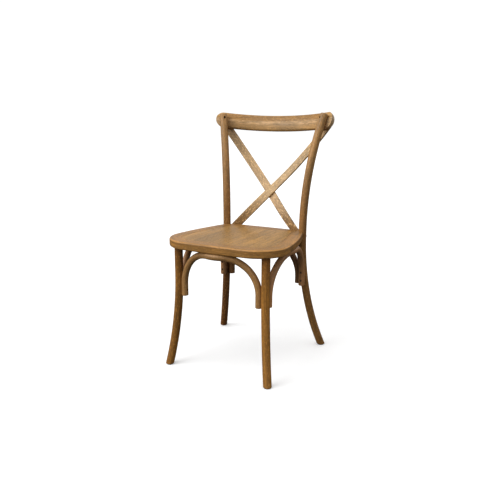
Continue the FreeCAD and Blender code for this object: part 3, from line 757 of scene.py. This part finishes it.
class CHAIR_OT_stage(bpy.types.Operator):
    """Lays the floor, hangs the lights and sets the camera"""

    bl_idname = "chair.stage"
    bl_label = "Stage"
    bl_options = {"REGISTER", "UNDO"}

    def execute(self, context):
        scene = context.scene
        stage = scene.chair_stage
        self.lay_floor(stage)
        self.light_sky(scene, stage)
        self.hang_light("key_light", stage.key_from, stage.key, stage.softness)
        self.hang_light("top_light", stage.top_from, stage.top, stage.softness)
        self.set_camera(scene, stage)
        scene.view_settings.view_transform = "Standard"
        return {"FINISHED"}

    def lay_floor(self, stage):
        bpy.ops.object.select_all(action="DESELECT")
        bpy.ops.mesh.primitive_plane_add(size=60.0, location=(0.0, 0.0, 0.0))
        floor = bpy.context.active_object
        floor.name = "floor"
        recipe = Recipe("floor_paint")
        grain = recipe.place()
        speck = recipe.noise(grain, 0.4, 0.4, 2.0)
        tint = recipe.mix(speck * 0.04, (*stage.floor, 1), (*shade(stage.floor, 0.96), 1))
        cloth = recipe.node("BsdfDiffuse", None, {0: tint})
        glow = recipe.node("Emission", None, {0: (1, 1, 1, 1), 1: stage.floor_glow})
        both = recipe.node("AddShader", None, {0: cloth.outputs[0], 1: glow.outputs[0]})
        recipe.node("OutputMaterial", None, {0: both.outputs[0]})
        floor.data.materials.append(recipe.material)
        floor.visible_diffuse = False
        floor.visible_glossy = False

    def light_sky(self, scene, stage):
        world = bpy.data.worlds.new("studio")
        world.use_nodes = True
        tree = world.node_tree
        tree.nodes.clear()
        read = tree.nodes.new("ShaderNodeTexCoord")
        parts = tree.nodes.new("ShaderNodeSeparateXYZ")
        ramp = tree.nodes.new("ShaderNodeValToRGB")
        ramp.color_ramp.elements[0].position = 0.44
        ramp.color_ramp.elements[0].color = (0.05, 0.047, 0.043, 1)
        ramp.color_ramp.elements[1].position = 0.62
        ramp.color_ramp.elements[1].color = (1, 1, 1, 1)
        half = tree.nodes.new("ShaderNodeMath")
        half.operation = "MULTIPLY_ADD"
        half.inputs[1].default_value = 0.5
        half.inputs[2].default_value = 0.5
        light = tree.nodes.new("ShaderNodeBackground")
        light.inputs[1].default_value = stage.sky
        seen = tree.nodes.new("ShaderNodeBackground")
        seen.inputs[0].default_value = (1, 1, 1, 1)
        seen.inputs[1].default_value = 1.05
        path = tree.nodes.new("ShaderNodeLightPath")
        mix = tree.nodes.new("ShaderNodeMixShader")
        out = tree.nodes.new("ShaderNodeOutputWorld")
        link = tree.links.new
        link(read.outputs["Generated"], parts.inputs[0])
        link(parts.outputs[2], half.inputs[0])
        link(half.outputs[0], ramp.inputs[0])
        link(ramp.outputs[0], light.inputs[0])
        link(path.outputs["Is Camera Ray"], mix.inputs[0])
        link(light.outputs[0], mix.inputs[1])
        link(seen.outputs[0], mix.inputs[2])
        link(mix.outputs[0], out.inputs[0])
        scene.world = world

    def hang_light(self, name, place, strength, softness):
        """A wide soft light that shines the same on the whole stage, so the floor stays even."""
        bpy.ops.object.light_add(type="SUN", location=place)
        lamp = bpy.context.active_object
        lamp.name = name
        lamp.data.energy = strength
        lamp.data.angle = softness
        seat_middle = Vector((0.0, 0.0, 0.45))
        aim = seat_middle - Vector(place)
        lamp.rotation_euler = aim.to_track_quat("-Z", "Y").to_euler()

    def set_camera(self, scene, stage):
        az, el, roll = stage.azimuth, stage.elevation, stage.roll
        back = Vector((math.sin(az) * math.cos(el), -math.cos(az) * math.cos(el), math.sin(el)))
        right = Vector((math.cos(az), math.sin(az), 0.0))
        up = back.cross(right)
        right, up = (
            right * math.cos(roll) + up * math.sin(roll),
            up * math.cos(roll) - right * math.sin(roll),
        )
        bpy.ops.object.camera_add(location=stage.place)
        camera = bpy.context.active_object
        camera.name = "camera"
        turned = Matrix((right, up, back)).transposed().to_4x4()
        camera.matrix_world = Matrix.Translation(Vector(stage.place)) @ turned
        camera.data.sensor_width = 36.0
        camera.data.lens = stage.lens
        camera.data.clip_start = 0.05
        camera.data.clip_end = 200.0
        scene.camera = camera


class CHAIR_PT_sidebar(bpy.types.Panel):
    """Lists the operators and what they read"""

    bl_label = "Cross Back Chair"
    bl_idname = "CHAIR_PT_sidebar"
    bl_space_type = "VIEW_3D"
    bl_region_type = "UI"
    bl_category = "Chair"

    def draw(self, context):
        column = self.layout.column()
        for operator in operators:
            column.operator(operator.bl_idname)
        for group in ("chair_colours", "chair_wood", "chair_planks", "chair_stage"):
            box = self.layout.box()
            settings = getattr(context.scene, group)
            for name in settings.__annotations__:
                box.prop(settings, name)


groups = {
    "chair_colours": ChairColours,
    "chair_wood": ChairWood,
    "chair_planks": ChairPlanks,
    "chair_stage": ChairStage,
}
operators = (
    CHAIR_OT_posts,
    CHAIR_OT_legs,
    CHAIR_OT_rail,
    CHAIR_OT_slats,
    CHAIR_OT_arches,
    CHAIR_OT_rim,
    CHAIR_OT_panel,
    CHAIR_OT_dowels,
    CHAIR_OT_fasteners,
    CHAIR_OT_glides,
    CHAIR_OT_stage,
)


def register():
    for made in (*groups.values(), *operators, CHAIR_PT_sidebar):
        bpy.utils.register_class(made)
    for name, group in groups.items():
        setattr(bpy.types.Scene, name, bpy.props.PointerProperty(type=group))


def unregister():
    for name in groups:
        delattr(bpy.types.Scene, name)
    for made in (CHAIR_PT_sidebar, *reversed(operators), *reversed(groups.values())):
        bpy.utils.unregister_class(made)


def main():
    register()
    for operator in operators:
        group, name = operator.bl_idname.split(".")
        getattr(getattr(bpy.ops, group), name)()


if __name__ == "__main__":
    main()
